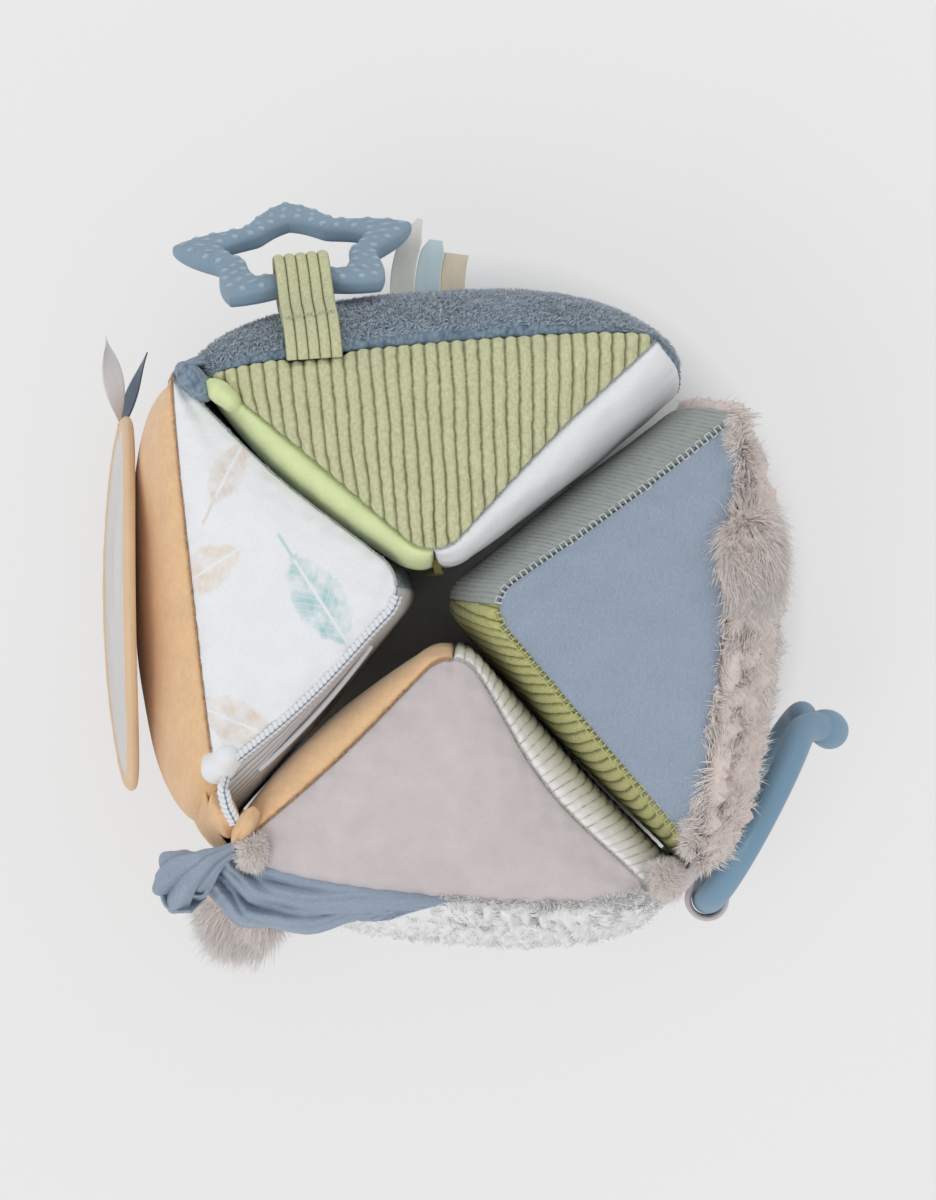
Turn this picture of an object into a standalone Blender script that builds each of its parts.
"""Soft fabric block: four stuffed wedges in a hinged chain, with a teether, a ring, a mirror and tags.

Metres, +Z up. The block stands on its base panels. Seen from above, the wedges are named top (+Y),
left (-X), bottom (-Y) and right (+X), and their tips meet near the middle.
"""

import bpy
import bmesh
from collections import namedtuple
from math import acos, cos, pi, radians, sin, tan
from mathutils import Matrix, Vector

# Sewn panels and their seams
COVER = 0.0015
FIT_GAP = 0.0003
HINGE_ROD = 0.002
HINGE_ROD_LENGTH = 0.086

# The closed block
HINGE_PITCH = 0.150
SEAM_TOP = 0.140
SEAM_BASE = 0.0055
CORNER_DROP = 0.004
TOP_CROWN = 0.009
BASE_CROWN = 0.0068

# Where the chain's first hinge stands and how its corners turn
HINGE_TOP_LEFT = (-0.090, 0.074)
HEADING_TOP = radians(3.6)
HEADING_LEFT = radians(94.2)
HEADING_BOTTOM = radians(175.0)
HEADING_RIGHT = radians(-96.0)

# Each wedge's own sizes
TOP_FREE_CHORD = 0.1520
RIGHT_FREE_CHORD = 0.1480
TOP_TIP_DEPTH = 0.0670
LEFT_TIP_DEPTH = 0.0680
BOTTOM_TIP_DEPTH = 0.0680
RIGHT_TIP_DEPTH = 0.0740
TOP_TIP_SHIFT = -0.003
BOTTOM_TIP_SHIFT = 0.006
RIGHT_TIP_SHIFT = -0.004

# How each wedge's stuffing fills its cover. A swell is a pair, at the seams and half way up. Box is how
# square the outer side is beside corners a and b. Tuck moves the panels' corners in along the chord and
# outward at the seams, and sink moves them on along the chord and inward half way up.
Shape = namedtuple("Shape", "outer box radius tip tuck_a tuck_b sink_a sink_b side_b side_a")
TOP_SHAPE = Shape(
    outer=(0.0045, 0.0225), box=(2.2, 2.6), radius=0.0120, tip=0.0040,
    tuck_a=(0.006, -0.004), tuck_b=(0.004, -0.001), sink_a=(0.0, 0.0), sink_b=(0.005, 0.0150),
    side_b=(-0.0015, 0.0015), side_a=(-0.0005, 0.0050),
)
LEFT_SHAPE = Shape(
    outer=(0.0010, 0.0265), box=(2.9, 2.5), radius=0.0120, tip=0.0030,
    tuck_a=(0.018, -0.001), tuck_b=(0.0, 0.0035), sink_a=(0.0, 0.0), sink_b=(0.0, 0.0),
    side_b=(-0.0025, -0.0030), side_a=(0.0020, 0.0),
)
BOTTOM_SHAPE = Shape(
    outer=(0.0095, 0.0285), box=(2.4, 2.3), radius=0.0100, tip=0.0030,
    tuck_a=(0.012, 0.003), tuck_b=(0.004, 0.002), sink_a=(0.0, 0.0), sink_b=(0.0, 0.0),
    side_b=(-0.0015, 0.0052), side_a=(-0.0050, -0.0010),
)
RIGHT_SHAPE = Shape(
    outer=(0.0025, 0.0205), box=(2.4, 2.4), radius=0.0100, tip=0.0160,
    tuck_a=(0.002, 0.0), tuck_b=(0.008, -0.001), sink_a=(0.0, 0.0180), sink_b=(0.0, 0.0),
    side_b=(0.0, 0.0020), side_a=(-0.001, 0.0010),
)
SINK_FALL = 8
SIDE_GATHER = 0.11

# Mesh counts of a cushion
SIDE_STEPS = 8
HEIGHT_STEPS = 8
TIP_SHARE = 0.25

# Strap and star teether
STRAP_WIDTH = 0.0175
STRAP_CLOTH = 0.0016
STRAP_SHARE = 0.260
STAR_THICKNESS = 0.0065
STAR_VALLEY = 0.0275
STAR_POINT = 0.0430
STAR_BAND = 0.0095
STAR_HOLE_POINT = 0.0245
STAR_ROUND = 0.0020
STAR_STEPS = 60
STAR_BUMPS = 30
STAR_STAND = 0.0010
LOOP_STEPS = 16
LOOP_OPEN = radians(36.0)
STAR_LEAN = radians(62.0)
STAR_TURN = radians(-84.0)
STAR_BAR_DROP = 0.0290
STRAP_SWAY = 0.0035
BUMP_RADIUS = 0.0013
BUMP_HEIGHT = 0.0007

# Satin tags
TAG_WIDTH = 0.0080
TAG_CLOTH = 0.0009
TAG_HEIGHT = 0.070
TAG_GAP = 0.0004
TAG_SHARE = 0.443
TAG_LENGTHS = (0.0265, 0.0190, 0.0140)
TAG_BENDS = (0.008, 0.004, 0.002)
TAG_SAG = 0.003

# Mirror
MIRROR_RADIUS = 0.0625
MIRROR_RIM = 0.0030
MIRROR_LEAN = radians(9.0)
MIRROR_TURN = radians(3.4)
MIRROR_BEND = 0.0033
MIRROR_HEIGHT = 0.074
MIRROR_SHARE = 0.50
MIRROR_BACK = 0.0016
MIRROR_FOIL = 0.0012
MIRROR_LIP = 0.0012
RIBBON_CLOTH = 0.0009
RIBBON_LENGTH = 0.030
RIBBON_LIFTS = (-0.017, -0.029)
RIBBON_LEANS = (0.12, -0.30)
RIBBON_WIDTH = 0.0085
RIBBON_CURL = 0.006

# Film window and braid
WINDOW_STAND = 0.0018
WINDOW_FILM = 0.0006
WINDOW_EDGE = 0.0012
WINDOW_TOP_SHARE = 0.93
WINDOW_LOW_SHARE = 0.30
WINDOW_START_SHARE = 0.36
WINDOW_END_SHARE = 0.84
BRAID_RADIUS = 0.0015

# Ring and its loop
RING_RADIUS = 0.0355
RING_TUBE = 0.0050
RING_OVERLAP = radians(28.0)
RING_BULB = 0.0066
RING_CLEAR = 0.0004
RING_SPLAY = radians(21.6)
RING_STEP_SHARE = 0.9
LOOP_SEAT_SHARE = 0.5
LOOP_CLOTH = 0.0015
LOOP_WIDTH = 0.0085
LOOP_OUT = 0.0130
LOOP_ALONG = 0.0150
LOOP_NECK = 1.15
MOUTH_TURN = 0.32
NECK_TURN = 0.20
END_TURN = 0.08

# Fur pieces, ruffle and tip tape
POMPOM_SIZE = (0.0120, 0.0195, 0.0115)
POMPOM_SHARE = 0.32
POMPOM_PROUD = 0.0045
TAIL_SIZE = (0.0170, 0.0230, 0.0160)
TAIL_HEIGHT = 0.030
TAIL_SET = 0.85
TAIL_SHARE = 0.925
RUFFLE_CLOTH = 0.0012
RUFFLE_WAVES = 4
RUFFLE_RISE = 0.0022
RUFFLE_START_SHARE = 0.56
RUFFLE_END_SHARE = 0.975
RUFFLE_FALL = 0.020
RUFFLE_SET = 0.003
KNOT_NECK = 0.0026
KNOT_RADIUS = 0.0090
KNOT_SHARE = 0.93
KNOT_ALONG = 0.0165
KNOT_OUT = 0.0165
KNOT_DROP = 0.0120
TAPE_CLOTH = 0.0009
TAPE_WIDTH = 0.0024
TAPE_SHARE = 0.90
TAPE_DROP = 0.030
TAPE_REACH = 0.0052
TAPE_SWAY = 0.0015
TAPE_POINTS = 14
LEAF_LENGTH = 0.011
LEAF_WIDTH = 0.006
LEAF_CLOTH = 0.0012


def material(name, colour, roughness, metallic=0.0):
    """A plain Principled material of one colour."""
    made = bpy.data.materials.new(name)
    made.use_nodes = True
    shader = made.node_tree.nodes["Principled BSDF"]
    shader.inputs["Base Color"].default_value = (*colour, 1.0)
    shader.inputs["Roughness"].default_value = roughness
    shader.inputs["Metallic"].default_value = metallic
    return made


def add_object(name, verts, faces, finish, sharp=40.0):
    """A smooth-shaded mesh object from points and faces."""
    mesh = bpy.data.meshes.new(name)
    mesh.from_pydata([tuple(v) for v in verts], [], [tuple(f) for f in faces])
    mesh.validate()
    mesh.shade_smooth()
    mesh.set_sharp_from_angle(angle=radians(sharp))
    mesh.materials.append(finish)
    made = bpy.data.objects.new(name, mesh)
    bpy.context.scene.collection.objects.link(made)
    return made


def flat(angle):
    """The level direction at an angle from +X."""
    return Vector((cos(angle), sin(angle)))


def rise(row):
    """Height share of a cushion's row, closer together near the seams."""
    return 0.5 - 0.5 * cos(pi * row / HEIGHT_STEPS)


def fullness(t):
    """How full a stuffed side is at height share t: 0 at its seams and 1 half way up."""
    return max(0.0, sin(pi * t)) ** 0.5


def corner_pull(t):
    """How far the corners are drawn in: 1 at the top and base seams, soon 0 away from them."""
    return (1.0 - max(0.0, sin(pi * t))) ** 4


class Wedge:
    """One stuffed wedge. Its outer side runs from corner a to corner b, seen from above clockwise."""

    def __init__(self, name, start, heading, chord, shape, depth, shift):
        self.name = name
        self.along = flat(heading)
        self.out = flat(heading + pi / 2)
        self.heading = heading
        self.chord = chord
        self.origin = Vector(start) + self.along * (HINGE_ROD + FIT_GAP + chord / 2)
        self.shape = shape
        self.depth = depth
        self.shift = shift

    def place(self, x, y, z):
        """Local point, x along the chord and y outward, in the block's frame."""
        level = self.origin + self.along * x + self.out * y
        return Vector((level.x, level.y, z))

    def turn(self, x, y, z=0.0):
        """Local direction in the block's frame."""
        level = self.along * x + self.out * y
        return Vector((level.x, level.y, z))

    def contour(self, side, u, t):
        """Local x and y on a side (0 outer, 1 from b to the tip, 2 from the tip to a)."""
        pull = corner_pull(t)
        full = fullness(t)
        half = self.chord / 2
        shape = self.shape
        (in_a, out_a), (in_b, out_b) = shape.tuck_a, shape.tuck_b
        (on_a, down_a), (on_b, down_b) = shape.sink_a, shape.sink_b
        a = Vector((in_a * pull - on_a * full - half, out_a * pull - down_a * full))
        b = Vector((half - in_b * pull + on_b * full, out_b * pull - down_b * full))
        if side == 0:
            share = u - SIDE_GATHER * sin(2 * pi * u)
            box = shape.box[0] + (shape.box[1] - shape.box[0]) * share
            swell = shape.outer[0] + (shape.outer[1] - shape.outer[0]) * full
            swell *= max(0.0, 1.0 - abs(2 * share - 1) ** box) ** (1.0 / box)
            # Only the skin beside a sunken corner follows it
            back = down_a * ((1.0 - share) - (1.0 - share) ** SINK_FALL) + down_b * (share - share**SINK_FALL)
            return a.lerp(b, share) + Vector((0.0, swell + back * full))
        tip = Vector((self.shift, -self.depth - shape.tip * full))
        start = b if side == 1 else a
        v = u if side == 1 else 1.0 - u
        to_start = (start - tip).normalized()
        middle = ((a - tip).normalized() + (b - tip).normalized()).normalized()
        half_angle = acos(max(-1.0, min(1.0, to_start.dot(middle))))
        touch = tip + to_start * (shape.radius / tan(half_angle))
        if v <= 1.0 - TIP_SHARE:
            w = v / (1.0 - TIP_SHARE)
            away = Vector((to_start.y, -to_start.x)) if side == 1 else Vector((-to_start.y, to_start.x))
            seam, half_way = shape.side_b if side == 1 else shape.side_a
            return start.lerp(touch, w) + away * (seam + (half_way - seam) * full) * sin(pi * w) ** 1.5
        centre = tip + middle * (shape.radius / sin(half_angle))
        sweep = (pi / 2 - half_angle) * (v - 1.0 + TIP_SHARE) / TIP_SHARE
        spoke = touch - centre
        spoke.rotate(Matrix.Rotation(-sweep if side == 1 else sweep, 2))
        return centre + spoke

    def seam_heights(self, side, u):
        """Heights of the base seam and the top seam, both drawn in at the outer corners."""
        near = abs(2 * u - 1) if side == 0 else (1 - u if side == 1 else u)
        return SEAM_BASE + 0.6 * CORNER_DROP * near**3, SEAM_TOP - CORNER_DROP * near**3

    def point(self, side, u, t, proud=0.0):
        """A point of the skin, or one standing proud of it."""
        xy = self.contour(side, u, t)
        low, high = self.seam_heights(side, u)
        spot = self.place(xy.x, xy.y, low + (high - low) * t)
        return spot + self.normal(side, u, t) * proud if proud else spot

    def normal(self, side, u, t):
        """Outward direction of the skin at a point of a side."""
        step = 0.01
        across = self.point(side, min(1.0, u + step), t) - self.point(side, max(0.0, u - step), t)
        up = self.point(side, u, min(1.0, t + step)) - self.point(side, u, max(0.0, t - step))
        return up.cross(across).normalized()

    def share_at(self, z):
        """Height share of a level on the sides."""
        return (z - SEAM_BASE) / (SEAM_TOP - SEAM_BASE)

    def cap_point(self, weights, t):
        """A point of the top (t 1) or base (t 0) panel from its shares of corners a, b and the tip."""
        wa, wb, wp = weights
        corners = (self.point(0, 0.0, t), self.point(0, 1.0, t), self.point(1, 1.0, t))
        edges = (
            self.point(1, wp / (wb + wp) if wb + wp else 0.0, t),
            self.point(2, wa / (wa + wp) if wa + wp else 0.0, t),
            self.point(0, wb / (wa + wb) if wa + wb else 0.0, t),
        )
        blends = ((wb * wp) ** 2, (wp * wa) ** 2, (wa * wb) ** 2)
        if not sum(blends):
            return corners[max(range(3), key=lambda n: weights[n])]
        spot = Vector((0.0, 0.0, 0.0))
        for share, corner, edge, blend in zip(weights, corners, edges, blends):
            spot += (edge * (1.0 - share) + corner * share) * blend / sum(blends)
        pillow = 27.0 * wa * wb * wp
        if t > 0.5:
            spot.z += TOP_CROWN * pillow**0.6
        else:
            spot.z = max(0.0, spot.z - BASE_CROWN * pillow**0.35)
        return spot

    def skin(self):
        """The whole cushion as points, triangles and each triangle's panel name."""
        loop = [(side, k / SIDE_STEPS) for side in range(3) for k in range(SIDE_STEPS)]
        verts = [self.point(s, u, rise(j)) for j in range(HEIGHT_STEPS + 1) for s, u in loop]
        count = len(loop)
        faces = []
        panels = []
        for j in range(HEIGHT_STEPS):
            for k, (side, _) in enumerate(loop):
                low, high = j * count + k, (j + 1) * count + k
                low_next, high_next = j * count + (k + 1) % count, (j + 1) * count + (k + 1) % count
                faces += [(low, high, high_next), (low, high_next, low_next)]
                panels += [("outer", "inner_b", "inner_a")[side]] * 2
        for t, panel in ((1.0, "top"), (0.0, "base")):
            ring = HEIGHT_STEPS * count if t else 0
            index = {}
            for ia in range(SIDE_STEPS + 1):
                for ib in range(SIDE_STEPS + 1 - ia):
                    ip = SIDE_STEPS - ia - ib
                    if ip == 0:
                        index[ia, ib] = ring + ib
                    elif ia == 0:
                        index[ia, ib] = ring + SIDE_STEPS + ip
                    elif ib == 0:
                        index[ia, ib] = ring + (2 * SIDE_STEPS + ia) % count
                    else:
                        index[ia, ib] = len(verts)
                        verts.append(self.cap_point([n / SIDE_STEPS for n in (ia, ib, ip)], t))
            for ia in range(SIDE_STEPS):
                for ib in range(SIDE_STEPS - ia):
                    cells = [(index[ia, ib], index[ia + 1, ib], index[ia, ib + 1])]
                    if ia + ib < SIDE_STEPS - 1:
                        cells.append((index[ia + 1, ib], index[ia + 1, ib + 1], index[ia, ib + 1]))
                    faces += [cell[::-1] if t else cell for cell in cells]
                    panels += [panel] * len(cells)
        return verts, faces, panels


def offset_points(verts, faces, inward):
    """The skin's points moved inward by an even thickness, or outward where it is negative."""
    shell = bmesh.new()
    for v in verts:
        shell.verts.new(v)
    shell.verts.ensure_lookup_table()
    for f in faces:
        shell.faces.new([shell.verts[n] for n in f])
    shell.normal_update()
    moved = [v.co - v.normal * min(v.calc_shell_factor(), 1.6) * inward for v in shell.verts]
    normals = [v.normal.copy() for v in shell.verts]
    shell.free()
    return moved, normals


def add_panel(wedge, panel, verts, faces, inside, normals, finish):
    """One sewn panel: its patch of the skin with its own thickness and cut edges."""
    edges = {}
    for face in faces:
        for n in range(3):
            edges[face[n], face[(n + 1) % 3]] = face
    rim = [edge for edge in edges if edge[::-1] not in edges]
    into = {}
    for a, b in rim:
        side = (verts[b] - verts[a]).normalized()
        for n in (a, b):
            into.setdefault(n, []).append(normals[n].cross(side).normalized())
    used = sorted({n for face in faces for n in face})
    place = {n: k for k, n in enumerate(used)}
    outer = []
    inner = []
    for n in used:
        shift = Vector((0.0, 0.0, 0.0))
        if n in into:
            first, second = into[n][0], into[n][-1]
            shift = (first + second) * (FIT_GAP / 2) / (1.0 + max(-0.5, first.dot(second)))
        outer.append(verts[n] + shift)
        inner.append(inside[n] + shift)
    depth = len(used)
    made = [tuple(place[n] for n in face) for face in faces]
    made += [tuple(place[n] + depth for n in face[::-1]) for face in faces]
    for a, b in rim:
        made.append((place[b], place[a], place[a] + depth))
        made.append((place[b], place[a] + depth, place[b] + depth))
    return add_object(wedge.name + "_" + panel, outer + inner, made, finish)


def add_wedge(wedge, finishes, filling):
    """A wedge's fibre filling and the five panels sewn round it."""
    verts, faces, panels = wedge.skin()
    inside, normals = offset_points(verts, faces, COVER)
    core, _ = offset_points(verts, faces, COVER + FIT_GAP)
    add_object(wedge.name + "_filling", core, faces, filling)
    for panel, finish in finishes.items():
        patch = [f for f, name in zip(faces, panels) if name == panel.split(".")[0]]
        label = panel.split(".")[1] if "." in panel else panel
        add_panel(wedge, label, verts, patch, inside, normals, finish)


def grown_skin(wedge):
    """A cutter: the wedge's skin grown by the fit gap, for pieces that lie against it."""
    verts, faces, _ = wedge.skin()
    grown, _ = offset_points(verts, faces, -FIT_GAP)
    cutter = add_object("cut_" + wedge.name, grown, faces, bpy.data.materials[0])
    cutter.hide_render = True
    cutter.display_type = "WIRE"
    return cutter


def cut_with(piece, cutter):
    """A Boolean difference that leaves a piece clear of what it lies against."""
    cut = piece.modifiers.new("fit", "BOOLEAN")
    cut.operation = "DIFFERENCE"
    cut.solver = "EXACT"
    cut.object = cutter


def strip(name, spots, widths, width, thick, finish, taper=None):
    """A flat band of cloth along points, lying across the given width directions."""
    verts = []
    for n, spot in enumerate(spots):
        ahead = spots[min(n + 1, len(spots) - 1)] - spots[max(n - 1, 0)]
        across = widths[n].normalized() if isinstance(widths, list) else widths.normalized()
        normal = ahead.cross(across).normalized()
        half = width / 2 * (taper[n] if taper else 1.0)
        for x, y in ((-1, -1), (1, -1), (1, 1), (-1, 1)):
            verts.append(spot + across * half * x + normal * thick / 2 * y)
    faces = [(0, 1, 2, 3)]
    for n in range(len(spots) - 1):
        for k in range(4):
            a, b = 4 * n + k, 4 * n + (k + 1) % 4
            faces.append((a, a + 4, b + 4, b))
    last = 4 * (len(spots) - 1)
    faces.append((last + 3, last + 2, last + 1, last))
    return outward(add_object(name, verts, faces, finish))


def outward(piece):
    """Turn a closed piece's faces outward."""
    shell = bmesh.new()
    shell.from_mesh(piece.data)
    bmesh.ops.recalc_face_normals(shell, faces=shell.faces)
    shell.to_mesh(piece.data)
    shell.free()
    return piece


def ellipsoid(name, centre, size, turn, finish, rings=8, spokes=12):
    """A round stuffed or furry lump."""
    shell = bmesh.new()
    bmesh.ops.create_uvsphere(shell, u_segments=spokes, v_segments=rings, radius=1.0)
    placed = Matrix.Translation(centre) @ Matrix.Rotation(turn, 4, "Z") @ Matrix.Diagonal((*size, 1.0))
    shell.transform(placed)
    mesh = bpy.data.meshes.new(name)
    shell.to_mesh(mesh)
    shell.free()
    mesh.shade_smooth()
    mesh.materials.append(finish)
    made = bpy.data.objects.new(name, mesh)
    bpy.context.scene.collection.objects.link(made)
    return made


def tube(name, path, radii, finish, spokes=10):
    """A round tube along points, with a radius at each, closed by its end rings."""
    verts = []
    normal = None
    for n, spot in enumerate(path):
        ahead = (path[min(n + 1, len(path) - 1)] - path[max(n - 1, 0)]).normalized()
        if normal is None:
            normal = ahead.orthogonal().normalized()
        normal = (normal - ahead * normal.dot(ahead)).normalized()
        side = ahead.cross(normal)
        for k in range(spokes):
            turn = 2 * pi * k / spokes
            verts.append(spot + (normal * cos(turn) + side * sin(turn)) * radii[n])
    faces = [tuple(range(spokes))[::-1]]
    for n in range(len(path) - 1):
        for k in range(spokes):
            a, b = n * spokes + k, n * spokes + (k + 1) % spokes
            faces.append((a, b, b + spokes, a + spokes))
    faces.append(tuple((len(path) - 1) * spokes + k for k in range(spokes)))
    return outward(add_object(name, verts, faces, finish))


def smooth(x):
    """Smooth step from 0 to 1."""
    x = max(0.0, min(1.0, x))
    return x * x * (3.0 - 2.0 * x)


def star_reach(turn, valley, point):
    """Radius of a five-pointed outline with round points, from its valley and point radii."""
    off = ((turn + pi / 5) % (2 * pi / 5)) - pi / 5
    share = 1.0 - abs(off) / (pi / 5)
    return valley + (point - valley) * (0.25 * smooth(share) + 0.75 * share**1.6) * (1.0 - 0.06 * share)


def make_hinge_rod(name, spot, cloth):
    """A rolled seam on a hinge line, between the two corners that it joins."""
    low = (SEAM_TOP + SEAM_BASE - HINGE_ROD_LENGTH) / 2
    path = [Vector((spot[0], spot[1], low + HINGE_ROD_LENGTH * n / 4)) for n in range(5)]
    return tube(name, path, [HINGE_ROD] * 5, cloth, spokes=12)


def outer_share(wedge, x, t):
    """The share u of a wedge's outer side at a place along its chord."""
    low, high = 0.0, 1.0
    for _ in range(24):
        middle = (low + high) / 2
        if wedge.contour(0, middle, t).x < x:
            low = middle
        else:
            high = middle
    return (low + high) / 2


def skin_out(wedge, x, t):
    """How far out a wedge's outer skin stands at a place along its chord."""
    return wedge.contour(0, outer_share(wedge, x, t), t).y


class StrapFrame:
    """Where the strap's seam, its loop and the star's bar lie on the top wedge."""

    def __init__(self, wedge):
        self.wedge = wedge
        self.x = wedge.chord * (STRAP_SHARE - 0.5)
        lean_out = wedge.turn(0.0, cos(STAR_LEAN), -sin(STAR_LEAN))
        along = wedge.turn(1.0, 0.0)
        self.face = wedge.turn(0.0, sin(STAR_LEAN), cos(STAR_LEAN))
        self.along = along
        self.down = lean_out
        self.bar = (along * -sin(STAR_TURN) + lean_out * cos(STAR_TURN)).normalized()
        far = star_edge_at(STRAP_WIDTH / 2)
        self.bar_out = (STAR_VALLEY - STAR_BAND + far) / 2
        edge = far - self.bar_out
        corner = STAR_THICKNESS / 2 - STAR_ROUND
        self.inner = (edge * edge + corner * corner) ** 0.5 + FIT_GAP
        self.radius = self.inner / cos(pi / LOOP_STEPS) + STRAP_CLOTH / 2
        height = SEAM_TOP - STAR_BAR_DROP
        stand = FIT_GAP + self.radius + STRAP_CLOTH / 2
        self.y = self.surface_y(height) + stand + STAR_STAND
        self.axis = wedge.place(self.x_at(height), self.y, height)

    def x_at(self, z):
        """The strap's middle along the chord at a height."""
        return self.x - STRAP_SWAY * (SEAM_TOP - z) / STAR_BAR_DROP

    def surface_y(self, z):
        """How far out the terry's skin stands at a height, under the strap."""
        return skin_out(self.wedge, self.x_at(z), self.wedge.share_at(z))

    def tangent(self, z):
        """The skin's own level direction across the strap at a height."""
        t = self.wedge.share_at(z)
        half = STRAP_WIDTH / 2
        x = self.x_at(z)
        rise_out = skin_out(self.wedge, x + half, t) - skin_out(self.wedge, x - half, t)
        return self.wedge.turn(STRAP_WIDTH, rise_out).normalized()


def star_edge_at(across):
    """Radial place of the star's outer edge beside a valley, at a distance across it."""
    turn = 0.0
    for _ in range(40):
        reach = star_reach(pi / 5 - turn, STAR_VALLEY, STAR_POINT)
        turn = min(pi / 5, across / reach)
    return star_reach(pi / 5 - turn, STAR_VALLEY, STAR_POINT) * cos(turn)


def make_strap(place, cloth):
    """The corduroy strap: down over the terry, round the star's bar and back under itself."""
    wedge = place.wedge
    half = STRAP_CLOTH / 2
    lift = 2 * STRAP_CLOTH + 1.5 * FIT_GAP
    seam_y = place.surface_y(SEAM_TOP)
    root = wedge.place(place.x, seam_y, SEAM_TOP + FIT_GAP + STRAP_CLOTH + FIT_GAP / 2)
    # Outer layer over the shoulder, then the loop, then the inner layer back to the seam
    heights = [SEAM_TOP - STAR_BAR_DROP * share for share in (0.12, 0.30, 0.48)]
    level = wedge.turn(0.0, STRAP_CLOTH)
    layer = Vector((0, 0, half + FIT_GAP / 2))
    outer = [root + layer, root + layer + level * 1.6]
    inner = [root - layer, root - layer + level * 0.8]
    across = [place.tangent(SEAM_TOP)] * 2
    for z in heights:
        skin_y = place.surface_y(z)
        slope_y = place.surface_y(z - 0.002) - place.surface_y(z + 0.002)
        normal = wedge.turn(0.0, 0.004, slope_y).normalized()
        skin = wedge.place(place.x_at(z), skin_y, z)
        outer.append(skin + normal * (lift - half + 2 * FIT_GAP))
        inner.append(skin + normal * (half + 2 * FIT_GAP))
        across.append(place.tangent(z))
    up = place.face.cross(place.bar).normalized()
    if up.z < 0:
        up = -up
    round_way = place.bar.cross(up).normalized()
    spots = list(outer)
    widths = list(across)
    turns = round(LOOP_STEPS * (1.0 - LOOP_OPEN / pi))
    for n in range(turns + 1):
        turn = LOOP_OPEN + (2 * pi - 2 * LOOP_OPEN) * n / turns
        spots.append(place.axis + (up * cos(turn) - round_way * sin(turn)) * place.radius)
        widths.append(place.bar)
    spots += inner[::-1]
    widths += across[::-1]
    strip("teether_strap", spots, widths, STRAP_WIDTH, STRAP_CLOTH, cloth)
    return root


def make_star(place, rubber):
    """The open star: a band of rounded section with raised bumps on its front face."""
    centre = place.axis - (place.along * cos(STAR_TURN) + place.down * sin(STAR_TURN)) * place.bar_out
    half = STAR_THICKNESS / 2
    verts = []
    steps = STAR_STEPS
    for n in range(steps):
        turn = 2 * pi * n / steps
        reach = star_reach(turn, STAR_VALLEY, STAR_POINT)
        hole = star_reach(turn, STAR_VALLEY - STAR_BAND, STAR_HOLE_POINT)
        way = turn + STAR_TURN + pi / 5
        spoke = place.along * cos(way) + place.down * sin(way)
        c = STAR_ROUND
        section = (
            (hole, -half + c), (hole, half - c), (hole + c, half), (reach - c, half),
            (reach, half - c), (reach, -half + c), (reach - c, -half), (hole + c, -half),
        )
        for r, h in section:
            verts.append(centre + spoke * r + place.face * h)
    faces = []
    for n in range(steps):
        m = (n + 1) % steps
        for k in range(8):
            j = (k + 1) % 8
            faces.append((n * 8 + k, n * 8 + j, m * 8 + j, m * 8 + k))
    star = outward(add_object("star_teether", verts, faces, rubber, sharp=60.0))
    bumps = []
    for n in range(STAR_BUMPS):
        turn = 2 * pi * n / STAR_BUMPS
        reach = star_reach(turn, STAR_VALLEY, STAR_POINT)
        hole = star_reach(turn, STAR_VALLEY - STAR_BAND, STAR_HOLE_POINT)
        width = reach - hole - 2 * STAR_ROUND
        rows = 2 if width > 3.2 * BUMP_RADIUS else 1
        way = turn + STAR_TURN + pi / 5
        spoke = place.along * cos(way) + place.down * sin(way)
        for row in range(rows):
            share = 0.5 if rows == 1 else 0.12 + 0.76 * row
            spot = centre + spoke * (hole + STAR_ROUND + width * share) + place.face * half
            if abs((spot - place.axis).dot(place.bar)) > STRAP_WIDTH / 2 + 2 * BUMP_RADIUS:
                bumps.append(spot)
            elif (spot - place.axis).length > 2 * place.radius:
                bumps.append(spot)
    shell = bmesh.new()
    tilt = place.face.to_track_quat("Z", "Y").to_matrix().to_4x4()
    for spot in bumps:
        ring = bmesh.ops.create_uvsphere(shell, u_segments=6, v_segments=4, radius=1.0)
        size = Matrix.Diagonal((BUMP_RADIUS, BUMP_RADIUS, BUMP_HEIGHT, 1.0))
        bmesh.ops.transform(shell, matrix=Matrix.Translation(spot) @ tilt @ size, verts=ring["verts"])
    mesh = bpy.data.meshes.new("star_bumps")
    shell.to_mesh(mesh)
    shell.free()
    dots = bpy.data.objects.new("star_bumps", mesh)
    bpy.context.scene.collection.objects.link(dots)
    dots.hide_render = True
    dots.display_type = "WIRE"
    join = star.modifiers.new("bumps", "BOOLEAN")
    join.operation = "UNION"
    join.solver = "EXACT"
    join.object = dots
    return star


def make_tags(wedge, cloths):
    """Three satin tags sewn side by side to the terry, standing out from it."""
    t = wedge.share_at(TAG_HEIGHT)
    for n, (length, bend, cloth) in enumerate(zip(TAG_LENGTHS, TAG_BENDS, cloths)):
        x = (TAG_SHARE - 0.5) * wedge.chord + n * (TAG_WIDTH + TAG_GAP)
        u = outer_share(wedge, x, t)
        out = wedge.normal(0, u, t)
        root = wedge.point(0, u, t) + out * (FIT_GAP + TAG_CLOTH / 2)
        spots = []
        for k in range(7):
            share = k / 6
            sag = wedge.turn(bend, 0.0, -TAG_SAG) * share * share
            spots.append(root + out * length * share + sag)
        strip("satin_tag_%d" % (n + 1), spots, wedge.turn(1.0, 0.0), TAG_WIDTH, TAG_CLOTH, cloth)


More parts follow.
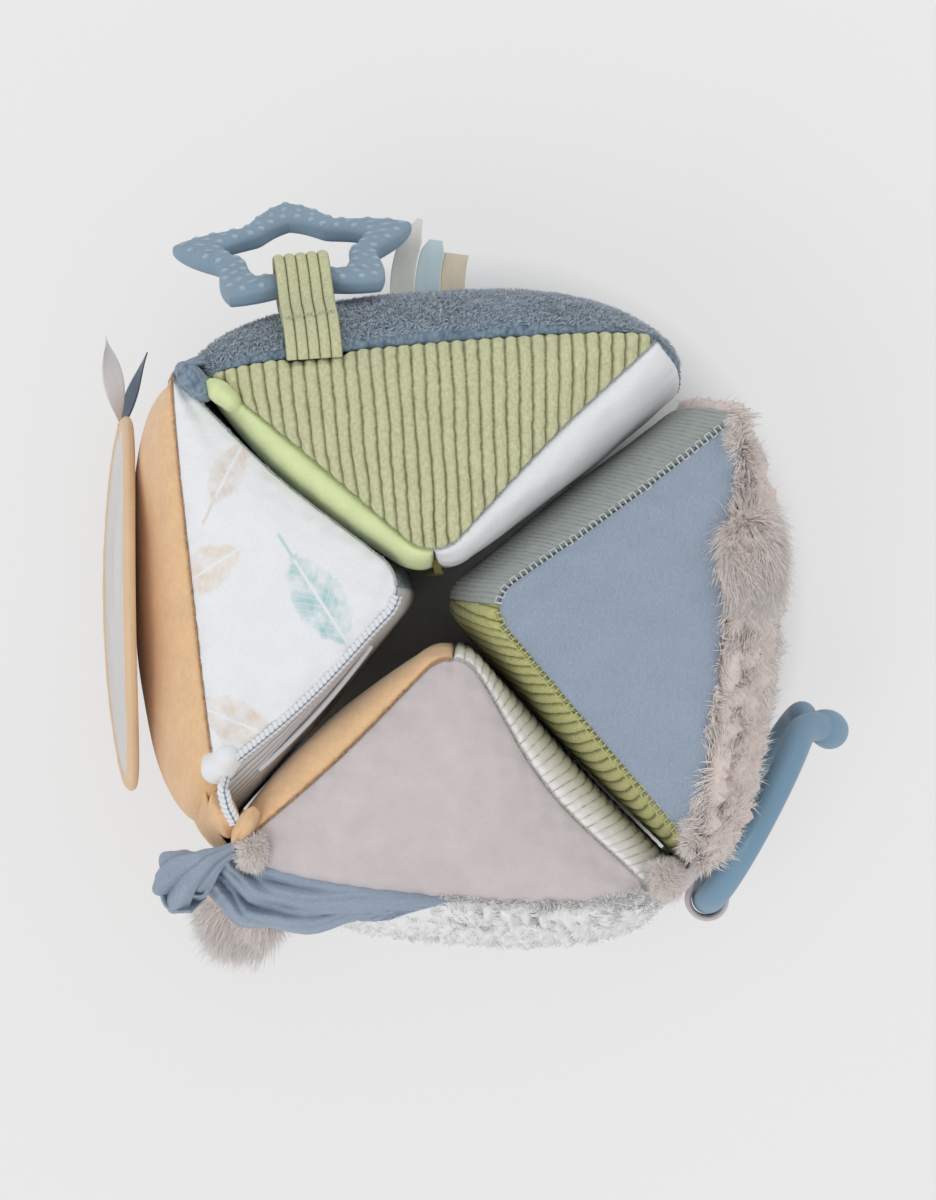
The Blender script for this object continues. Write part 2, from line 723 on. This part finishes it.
def make_mirror(wedge, frame_cloth, foil, back_cloth):
    """A padded frame with a foil and a fabric back, leaning on the outer panel where it is sewn."""
    out = wedge.turn(sin(MIRROR_TURN), cos(MIRROR_TURN))
    face = (out * cos(MIRROR_LEAN) + Vector((0, 0, sin(MIRROR_LEAN)))).normalized()
    across = wedge.turn(cos(MIRROR_TURN), -sin(MIRROR_TURN))
    up = face.cross(across).normalized()
    if up.z < 0:
        up = -up
    spot = wedge.place((MIRROR_SHARE - 0.5) * wedge.chord, 0.0, MIRROR_HEIGHT)

    def on_disc(turn, r, h):
        bend = MIRROR_BEND * (r * cos(turn) / MIRROR_RADIUS) ** 2
        return across * r * cos(turn) + up * r * sin(turn) + face * (h - bend)

    # The lowest stand-off at which the whole back clears the panel
    stand = 0.0
    for ring in range(1, 7):
        for k in range(24):
            turn = 2 * pi * k / 24
            r = MIRROR_RADIUS * ring / 6
            probe = spot + on_disc(turn, r, 0.0)
            t = wedge.share_at(probe.z)
            if 0.0 < t < 1.0:
                local = probe - wedge.place(0, 0, probe.z)
                skin = skin_out(wedge, local.dot(wedge.turn(1.0, 0.0)), t)
                stand = max(stand, (skin - local.dot(wedge.turn(0.0, 1.0))) / cos(MIRROR_TURN))
    centre = spot + out * (stand + FIT_GAP)
    rim = MIRROR_RIM
    inner = MIRROR_RADIUS - 2 * rim
    back_low, back_high = 0.0, MIRROR_BACK
    foil_low = back_high + FIT_GAP

    def turned(name, profile, cloth, steps=40):
        verts = []
        for n in range(steps):
            turn = 2 * pi * n / steps
            verts += [centre + on_disc(turn, r, h) for r, h in profile]
        count = len(profile)
        faces = []
        for n in range(steps):
            m = (n + 1) % steps
            for k in range(count):
                j = (k + 1) % count
                faces.append((n * count + k, n * count + j, m * count + j, m * count + k))
        return outward(add_object(name, verts, faces, cloth))

    def disc(name, radius, low, high, cloth, steps=40):
        verts = []
        for h in (low, high):
            for n in range(steps):
                turn = 2 * pi * n / steps
                verts.append(centre + on_disc(turn, radius, h))
        faces = [(n, (n + 1) % steps, (n + 1) % steps + steps, n + steps) for n in range(steps)]
        # Each face spans the disc along one line of the bend
        for n in range(steps // 2):
            lower = (n, n + 1, steps - n - 1, steps - n) if n else (0, 1, steps - 1)
            if n == steps // 2 - 1:
                lower = (n, n + 1, steps - n)
            faces += [lower[::-1], tuple(k + steps for k in lower)]
        return outward(add_object(name, verts, faces, cloth))

    profile = [
        (MIRROR_RADIUS - rim + rim * cos(a), rim + rim * sin(a) * 0.95 + 0.05 * rim)
        for a in [radians(d) for d in (-90, -45, 0, 45, 90)]
    ]
    profile += [(inner + MIRROR_LIP, foil_low + MIRROR_FOIL + 2 * FIT_GAP + MIRROR_LIP)]
    profile += [(inner, foil_low + MIRROR_FOIL + 2 * FIT_GAP)]
    profile += [(MIRROR_RADIUS - rim - FIT_GAP, foil_low + MIRROR_FOIL + FIT_GAP)]
    frame = turned("mirror_frame", profile, frame_cloth)
    disc("mirror_foil", MIRROR_RADIUS - rim - 3 * FIT_GAP, foil_low, foil_low + MIRROR_FOIL, foil)
    disc("mirror_back", MIRROR_RADIUS - rim - 3 * FIT_GAP, back_low, back_high, back_cloth)
    return centre, across, up, face


def make_ribbons(mirror, cloths):
    """Two satin ribbons sewn under the mirror frame's edge nearest the first hinge."""
    centre, across, up, face = mirror
    for n, cloth in enumerate(cloths):
        lift = RIBBON_LIFTS[n]
        near = abs(lift) - RIBBON_WIDTH / 2
        edge = (MIRROR_RADIUS**2 - near**2) ** 0.5
        root = centre + across * (edge + FIT_GAP) + up * lift
        root += face * (MIRROR_RIM - MIRROR_BEND * (edge / MIRROR_RADIUS) ** 2)
        lean = RIBBON_LEANS[n]
        way = (across + face * lean).normalized()
        curl = face * lean * RIBBON_CURL
        spots = [root + way * RIBBON_LENGTH * k / 6 + curl * (k / 6) ** 2 for k in range(7)]
        taper = [1.0, 1.0, 1.0, 0.95, 0.85, 0.6, 0.25] if n else [0.9, 1.0, 1.0, 1.0, 1.0, 0.9, 0.7]
        name = ("ribbon_white", "ribbon_slate")[n]
        strip(name, spots, up, RIBBON_WIDTH, RIBBON_CLOTH, cloth, taper)


def make_window(wedge, film, binding):
    """The clear film pocket on the inner side next to corner a, with a bound upper edge."""
    columns, rows = 8, 6
    outer = []
    inner = []
    for row in range(rows + 1):
        for column in range(columns + 1):
            u = WINDOW_START_SHARE + (WINDOW_END_SHARE - WINDOW_START_SHARE) * column / columns
            t = WINDOW_LOW_SHARE + (WINDOW_TOP_SHARE - WINDOW_LOW_SHARE) * row / rows
            bulge = sin(pi * column / columns) ** 0.7 * sin(pi * (0.15 + 0.6 * row / rows)) ** 0.5
            stand = 2 * FIT_GAP + WINDOW_STAND * bulge
            inner.append(wedge.point(2, u, t, stand))
            outer.append(wedge.point(2, u, t, stand + WINDOW_FILM))
    closed_sheet("window_film", outer, inner, columns, rows, film)
    path = []
    for column in range(columns + 1):
        u = WINDOW_START_SHARE + (WINDOW_END_SHARE - WINDOW_START_SHARE) * column / columns
        bulge = sin(pi * column / columns) ** 0.7 * sin(pi * 0.75) ** 0.5
        rise_up = WINDOW_TOP_SHARE + (WINDOW_EDGE + FIT_GAP) / (SEAM_TOP - SEAM_BASE)
        path.append(wedge.point(2, u, rise_up, 2 * FIT_GAP + WINDOW_EDGE + WINDOW_STAND * bulge))
    tube("window_edge", path, [WINDOW_EDGE] * len(path), binding, spokes=6)


def closed_sheet(name, outer, inner, columns, rows, cloth):
    """A sheet with thickness from two grids of points."""
    width = columns + 1
    depth = len(outer)
    faces = []
    for row in range(rows):
        for column in range(columns):
            a = row * width + column
            cell = (a, a + 1, a + 1 + width, a + width)
            faces += [cell, tuple(n + depth for n in cell[::-1])]
    rim = list(range(columns)) + [columns + width * row for row in range(rows)]
    rim += [rows * width + column for column in range(columns, 0, -1)]
    rim += [row * width for row in range(rows, 0, -1)]
    for n, a in enumerate(rim):
        b = rim[(n + 1) % len(rim)]
        faces.append((b, a, a + depth, b + depth))
    return outward(add_object(name, outer + inner, faces, cloth))


def make_braid(wedge, cloth):
    """The braid along the top seam of the inner side next to corner a."""
    path = []
    for k in range(15):
        u = 0.10 + 0.86 * k / 14
        seam = wedge.point(2, u, 1.0)
        level = wedge.normal(2, u, 0.97)
        out = (Vector((level.x, level.y, 0.0)).normalized() + Vector((0, 0, 1.0))).normalized()
        path.append(seam + out * (BRAID_RADIUS + 2 * FIT_GAP))
    return tube("seam_braid", path, [BRAID_RADIUS] * len(path), cloth, spokes=6)


def make_ring(wedge, plastic, cloth):
    """The split ring on end beside the fur panel, and the velour loop sewn at the corner."""
    half = wedge.chord / 2
    z = RING_RADIUS + RING_TUBE + FIT_GAP
    hold = wedge.place(half + LOOP_ALONG, LOOP_OUT, z)
    away = flat(wedge.heading + pi - RING_SPLAY)
    away = Vector((away.x, away.y, 0.0))
    out = Vector((away.y, -away.x, 0.0))
    centre = hold + away * RING_RADIUS
    step = RING_TUBE + RING_BULB + RING_CLEAR
    sweep = 2 * pi + RING_OVERLAP
    path = []
    radii = []
    count = 56
    for n in range(count + 1):
        turn = -sweep / 2 + sweep * n / count
        left = (sweep / 2 - turn) * RING_RADIUS
        aside = step * smooth(1.0 - left / (RING_STEP_SHARE * RING_RADIUS))
        spoke = away * -cos(turn) + Vector((0, 0, sin(turn)))
        path.append(centre + spoke * RING_RADIUS + out * aside)
        begun = (turn + sweep / 2) * RING_RADIUS
        size = RING_TUBE * (0.30 + 0.70 * smooth(begun / (2.2 * RING_TUBE)) ** 0.5)
        if left < 2.4 * RING_BULB:
            share = left / (2.4 * RING_BULB)
            size = RING_TUBE + (RING_BULB - RING_TUBE) * sin(pi * share) ** 0.5
            size *= min(1.0, (0.06 + share * 3.2) ** 0.5)
        radii.append(size)
    tube("hanging_ring", path, radii, plastic, spokes=10)
    inner = RING_TUBE + RING_CLEAR + LOOP_WIDTH**2 / (8 * RING_RADIUS)
    outer = inner + LOOP_CLOTH
    t = wedge.share_at(z)
    last = wedge.point(0, 1.0 - 1.0 / SIDE_STEPS, t)
    edge = wedge.point(0, 1.0, t)
    level = Vector((last.y - edge.y, edge.x - last.x, 0.0)).normalized()
    seat = last.lerp(edge, LOOP_SEAT_SHARE) + level * 2 * FIT_GAP
    tail = seat - hold
    tail.z = 0.0
    way = tail.normalized()
    side = Vector((-way.y, way.x, 0.0))
    reach = tail.length
    slim = LOOP_CLOTH * 0.8
    rim = []
    for n in range(21):
        turn = MOUTH_TURN + 2 * (pi - MOUTH_TURN) * n / 20
        spoke = way * cos(turn) + side * sin(turn)
        rim.append((spoke * outer, spoke * inner))
    neck = outer * LOOP_NECK
    ends = ((neck, -1, -NECK_TURN), (reach, -1, -END_TURN), (reach, 1, END_TURN), (neck, 1, NECK_TURN))
    for far, y, turn in ends:
        spot = way * far + side * slim * y
        spoke = way * cos(turn) + side * sin(turn)
        rim.append((spot, spoke * inner))
    verts = []
    for low in (-LOOP_WIDTH / 2, LOOP_WIDTH / 2):
        for far, near in rim:
            lift = Vector((0, 0, low))
            verts += [hold + far + lift, hold + near + lift]
    count = len(rim)
    faces = []
    for n in range(count):
        m = (n + 1) % count
        a, b, c, d = 2 * n, 2 * m, 2 * m + 1, 2 * n + 1
        top = 2 * count
        faces += [(a, b, c, d), (a + top, d + top, c + top, b + top)]
        faces += [(a, a + top, b + top, b), (d, c, c + top, d + top)]
    outward(add_object("ring_loop", verts, faces, cloth))
    return hold


def make_ruffle(wedge, cloth):
    """The gathered muslin along the outer top seam, hanging a little over the plush."""
    columns, rows = 28, 4
    outer = []
    inner = []
    for row in range(rows + 1):
        for column in range(columns + 1):
            share = column / columns
            u = RUFFLE_START_SHARE + (RUFFLE_END_SHARE - RUFFLE_START_SHARE) * share
            drop = RUFFLE_FALL * (0.35 + 0.65 * smooth(share * 2.2)) * row / rows
            t = 1.0 - (RUFFLE_SET + drop) / (SEAM_TOP - SEAM_BASE)
            wave = 0.5 - 0.5 * cos(2 * pi * RUFFLE_WAVES * share + 0.9 * row / rows)
            stand = 2 * FIT_GAP + RUFFLE_RISE * (0.2 + 0.8 * row / rows) * (0.2 + wave)
            inner.append(wedge.point(0, u, t, stand))
            outer.append(wedge.point(0, u, t, stand + RUFFLE_CLOTH))
    return closed_sheet("muslin_ruffle", outer, inner, columns, rows, cloth)


def make_knot(wedge, cloth):
    """The ruffle's gathered end: a neck along the seam, over the corner and down to a loose bundle."""
    seat = KNOT_NECK + 2 * FIT_GAP
    path = []
    for u in (KNOT_SHARE, (1.0 + KNOT_SHARE) / 2, 1.0):
        path.append(wedge.point(0, u, 1.0) + Vector((0.0, 0.0, seat)))
    corner = path[-1]
    end = wedge.place(wedge.chord / 2 + KNOT_ALONG, KNOT_OUT, SEAM_TOP - KNOT_DROP)
    lift = Vector((0.0, 0.0, KNOT_RADIUS * 0.4))
    turn = corner.lerp(end, 0.42) + lift
    path += [corner.lerp(turn, 0.5) + lift * 0.2, turn, turn.lerp(end, 0.5) + lift * 0.6, end]
    fall = (end - turn).normalized() * KNOT_RADIUS
    path += [end + fall * share for share in (0.5, 0.85, 1.0)]
    shares = (0.0, 0.0, 0.1, 0.25, 0.6, 0.9, 1.0, 0.86, 0.5, 0.1)
    radii = [KNOT_NECK + (KNOT_RADIUS - KNOT_NECK) * share for share in shares]
    return tube("muslin_knot", path, radii, cloth, spokes=10)


def make_tape(wedge, tape, leaf):
    """The narrow tape sewn at a wedge's tip, with a leaf-shaped tag on its end."""
    out = wedge.normal(1, 1.0, TAPE_SHARE)
    root = wedge.point(1, 1.0, TAPE_SHARE) + out * (FIT_GAP + TAPE_CLOTH / 2)
    side = wedge.turn(1.0, 0.0)
    spots = []
    for n in range(TAPE_POINTS):
        share = n / (TAPE_POINTS - 1)
        away = TAPE_REACH * sin(pi / 2 * min(1.0, 4.0 * share)) * (1.0 - 0.2 * share)
        sway = TAPE_SWAY * sin(1.2 * pi * share)
        spots.append(root + out * away + side * sway - Vector((0, 0, TAPE_DROP * share**1.6)))
    strip("tip_tape", spots, side, TAPE_WIDTH, TAPE_CLOTH, tape)
    end = spots[-1] - Vector((0, 0, FIT_GAP))
    count = 8
    verts = []
    for lift in (-LEAF_CLOTH / 2, LEAF_CLOTH / 2):
        for n in range(2 * count):
            share = n / count
            along = share if share <= 1 else 2 - share
            wide = LEAF_WIDTH / 2 * sin(pi * min(0.999, 0.06 + 0.90 * along)) ** 0.8
            wide = wide if share <= 1 else -wide
            verts.append(end + side * wide - Vector((0, 0, LEAF_LENGTH * along)) + out * lift)
    total = 2 * count
    faces = [tuple(range(total)), tuple(range(total, 2 * total))[::-1]]
    for n in range(total):
        m = (n + 1) % total
        faces.append((n, n + total, m + total, m))
    outward(add_object("tip_leaf", verts, faces, leaf))


def carry(name, spot, pieces, parent=None):
    """An empty on a joint's axis that carries the pieces turning about it, by the starts of their names."""
    pivot = bpy.data.objects.new(name, None)
    bpy.context.scene.collection.objects.link(pivot)
    pivot.location = spot - parent.matrix_world.translation if parent else spot
    pivot.parent = parent
    for piece in bpy.context.scene.objects:
        if piece.type != "EMPTY" and piece.parent is None and piece.name.startswith(pieces):
            piece.parent = pivot
            piece.location = -spot
    bpy.context.view_layer.update()
    return pivot


def stand_on_origin():
    """Move the whole block so that the middle of its box's underside is the origin."""
    bpy.context.view_layer.update()
    graph = bpy.context.evaluated_depsgraph_get()
    low = Vector((1e9, 1e9, 1e9))
    high = -low
    made = [o for o in bpy.context.scene.objects if not o.hide_render and o.type != "EMPTY"]
    for piece in made:
        shown = piece.evaluated_get(graph)
        mesh = shown.to_mesh()
        for v in mesh.vertices:
            spot = shown.matrix_world @ v.co
            low = Vector(map(min, low, spot))
            high = Vector(map(max, high, spot))
        shown.to_mesh_clear()
    shift = Vector((-(low.x + high.x) / 2, -(low.y + high.y) / 2, -low.z))
    for piece in bpy.context.scene.objects:
        if piece.parent is None:
            piece.location += shift
    return shift


def main():
    for old in list(bpy.data.objects):
        bpy.data.objects.remove(old, do_unlink=True)

    corduroy = material("corduroy_olive", (0.59, 0.60, 0.37), 0.95)
    terry = material("terry_blue", (0.17, 0.24, 0.34), 1.0)
    yellow = material("minky_yellow_green", (0.72, 0.81, 0.46), 0.9)
    white = material("minky_white", (0.81, 0.82, 0.84), 0.9)
    orange = material("velour_orange", (0.76, 0.43, 0.19), 0.9)
    grey_knit = material("knit_grey", (0.55, 0.58, 0.62), 0.95)
    taupe = material("velour_taupe", (0.52, 0.45, 0.45), 0.9)
    plush = material("plush_white", (0.83, 0.83, 0.84), 1.0)
    striped_rib = material("rib_white_tan", (0.83, 0.80, 0.76), 0.95)
    muslin = material("muslin_blue", (0.27, 0.34, 0.46), 0.95)
    fur = material("fur_taupe", (0.60, 0.52, 0.48), 1.0)
    rib_green = material("rib_grey_green", (0.31, 0.36, 0.35), 0.95)
    corduroy_dark = material("corduroy_dark_olive", (0.54, 0.54, 0.23), 0.95)
    fibre = material("polyester_fibre", (0.9, 0.9, 0.9), 1.0)
    base_cloth = material("base_cotton", (0.68, 0.68, 0.66), 0.95)
    silicone = material("silicone_blue", (0.16, 0.27, 0.38), 0.45)
    ring_blue = material("ring_plastic_blue", (0.17, 0.30, 0.42), 0.35)
    satin_taupe = material("satin_taupe", (0.62, 0.60, 0.56), 0.5)
    satin_blue = material("satin_light_blue", (0.55, 0.68, 0.74), 0.5)
    satin_beige = material("satin_beige", (0.60, 0.50, 0.38), 0.5)
    satin_white = material("satin_white", (0.78, 0.78, 0.78), 0.5)
    satin_slate = material("satin_slate", (0.05, 0.11, 0.18), 0.5)
    frame_cloth = material("mirror_binding_tan", (0.73, 0.49, 0.26), 0.9)
    foil = material("mirror_foil", (0.75, 0.78, 0.80), 0.1, 1.0)
    film = material("clear_film", (0.9, 0.9, 0.9), 0.1)
    binding = material("window_binding", (0.7, 0.7, 0.7), 0.6)
    braid = material("braid_white_blue", (0.65, 0.68, 0.74), 0.9)
    tape = material("tape_olive", (0.20, 0.18, 0.08), 0.9)

    pitch = HINGE_PITCH
    corner = HINGE_ROD + FIT_GAP
    top_left = Vector(HINGE_TOP_LEFT)
    bottom_left = top_left - flat(HEADING_LEFT) * pitch
    bottom_right = bottom_left - flat(HEADING_BOTTOM) * pitch
    right_start = bottom_right - flat(HEADING_RIGHT) * (2 * corner + RIGHT_FREE_CHORD)
    chord = pitch - 2 * corner

    top = Wedge("top", top_left, HEADING_TOP, TOP_FREE_CHORD, TOP_SHAPE, TOP_TIP_DEPTH, TOP_TIP_SHIFT)
    left = Wedge("left", bottom_left, HEADING_LEFT, chord, LEFT_SHAPE, LEFT_TIP_DEPTH, 0.0)
    bottom = Wedge("bottom", bottom_right, HEADING_BOTTOM, chord, BOTTOM_SHAPE, BOTTOM_TIP_DEPTH,
                   BOTTOM_TIP_SHIFT)
    right = Wedge("right", right_start, HEADING_RIGHT, RIGHT_FREE_CHORD, RIGHT_SHAPE, RIGHT_TIP_DEPTH,
                  RIGHT_TIP_SHIFT)

    add_wedge(top, {"top": corduroy, "base": base_cloth, "outer": terry, "inner_a": yellow,
                    "inner_b": white}, fibre)
    add_wedge(left, {"top": white, "base": base_cloth, "outer": orange, "inner_a": grey_knit,
                     "inner_b": terry}, fibre)
    add_wedge(bottom, {"top": taupe, "base": base_cloth, "outer": plush, "inner_a": striped_rib,
                       "inner_b": orange}, fibre)
    add_wedge(right, {"top": muslin, "base": base_cloth, "outer": fur, "inner_a": rib_green,
                      "inner_b": corduroy_dark}, fibre)

    make_hinge_rod("hinge_seam_top_left", top_left, terry)
    make_hinge_rod("hinge_seam_bottom_left", bottom_left, orange)
    make_hinge_rod("hinge_seam_bottom_right", bottom_right, taupe)

    place = StrapFrame(top)
    strap_root = make_strap(place, corduroy)
    make_star(place, silicone)
    make_tags(top, (satin_taupe, satin_blue, satin_beige))

    mirror = make_mirror(left, frame_cloth, foil, orange)
    make_ribbons(mirror, (satin_white, satin_slate))
    make_window(left, film, binding)
    make_braid(left, braid)

    ring_hold = make_ring(right, ring_blue, taupe)
    pompom_at = right.point(0, outer_share(right, (POMPOM_SHARE - 0.5) * right.chord, 1.0), 1.0)
    pompom = ellipsoid("fur_pompom", pompom_at + right.turn(0.0, POMPOM_PROUD), POMPOM_SIZE,
                       right.heading + pi / 2, fur)
    cut_with(pompom, grown_skin(right))

    make_ruffle(bottom, muslin)
    beside = grown_skin(bottom)
    cut_with(make_knot(bottom, muslin), beside)
    low = bottom.share_at(TAIL_HEIGHT)
    tail_u = outer_share(bottom, (TAIL_SHARE - 0.5) * bottom.chord, low)
    tail_at = bottom.point(0, tail_u, low, TAIL_SIZE[1] * TAIL_SET)
    tail_at.z = TAIL_HEIGHT
    tail = ellipsoid("fur_tail", tail_at, TAIL_SIZE, bottom.heading, fur)
    cut_with(tail, beside)

    make_tape(top, tape, corduroy_dark)

    hinge_top = carry("pivot_top", Vector((*top_left, 0.0)), ("top_", "cut_top", "satin_tag", "tip_"))
    lift_pivot = carry("pivot_strap", strap_root, ("teether_strap",), hinge_top)
    carry("pivot_star", place.axis, ("star_",), lift_pivot)
    hinge_bottom = carry("pivot_bottom", Vector((*bottom_left, 0.0)), ("bottom_", "muslin_", "fur_tail",
                                                                       "cut_bottom"))
    own = ("right_", "fur_pompom", "ring_loop", "hinge_seam_bottom_right", "cut_right")
    hinge_right = carry("pivot_right", Vector((*bottom_right, 0.0)), own, hinge_bottom)
    carry("pivot_ring", ring_hold, ("hanging_ring",), hinge_right)
    shift = stand_on_origin()

    level = Vector((0.0, 0.0, 1.0))
    return {
        "hinge_top_left": (Vector((*top_left, 0.0)) + shift, level),
        "hinge_bottom_left": (Vector((*bottom_left, 0.0)) + shift, -level),
        "hinge_bottom_right": (Vector((*bottom_right, 0.0)) + shift, -level),
        "strap_lift": (strap_root + shift, place.tangent(SEAM_TOP)),
        "star_swing": (place.axis + shift, place.bar),
        "ring_swing": (ring_hold + shift, -level),
    }


# Each joint's point and axis in the finished block
JOINTS = main()
